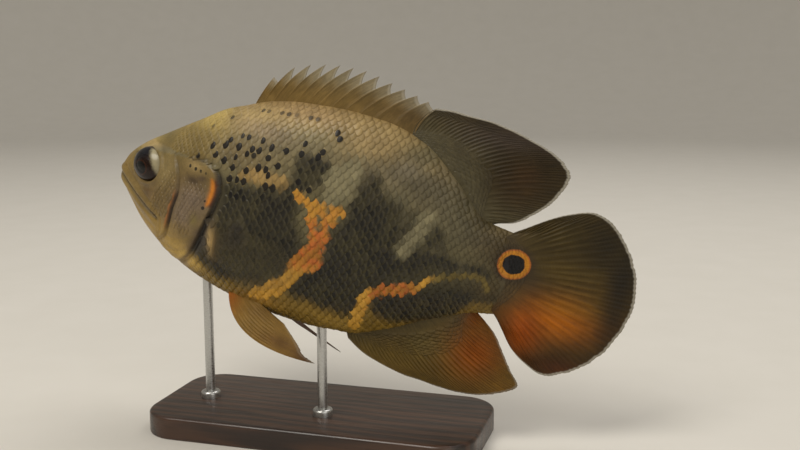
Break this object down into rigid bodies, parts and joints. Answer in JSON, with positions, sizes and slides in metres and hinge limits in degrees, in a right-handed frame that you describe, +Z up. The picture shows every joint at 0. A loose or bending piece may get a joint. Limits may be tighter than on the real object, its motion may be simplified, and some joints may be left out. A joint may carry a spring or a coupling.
{
  "type": "oscar fish display model",
  "caption": "Life-size still model of a deep-bodied oscar cichlid in a gentle swimming curve, held on a plain base by slender rods for display.",
  "frame": {"origin": "middle of the underside of the stand's base", "axes": "+Z up, the fish lies along X with its head towards -X and its left side towards -Y"},
  "size_m": [0.2396, 0.0729, 0.1622],
  "materials": {
    "fish_skin": "moist scaled skin, khaki back, slate flanks with orange bars, satin gloss",
    "fin_membrane": "thin rayed membrane, olive brown to orange red, satin",
    "fish_eye": "dark glossy eye with a pale rim",
    "stand_wood": "dark stained wood, satin lacquer",
    "stand_steel": "brushed"
  },
  "bodies": {
    "root": {"head": "fish_skin", "lower_jaw": "fish_skin", "gill_cover_left": "fish_skin", "gill_cover_right": "fish_skin", "trunk": "fish_skin", "tail_stem": "fish_skin", "eye_left": "fish_eye", "eye_right": "fish_eye", "dorsal_fin_spiny": "fin_membrane", "dorsal_fin_soft": "fin_membrane", "anal_fin": "fin_membrane", "tail_fin": "fin_membrane", "pelvic_fin_left": "fin_membrane", "pelvic_fin_right": "fin_membrane", "pectoral_fin_left": "fin_membrane", "pectoral_fin_right": "fin_membrane", "stand_base": "stand_wood", "stand_rod_front": "stand_steel", "stand_rod_rear": "stand_steel"}
  },
  "joints": []
}
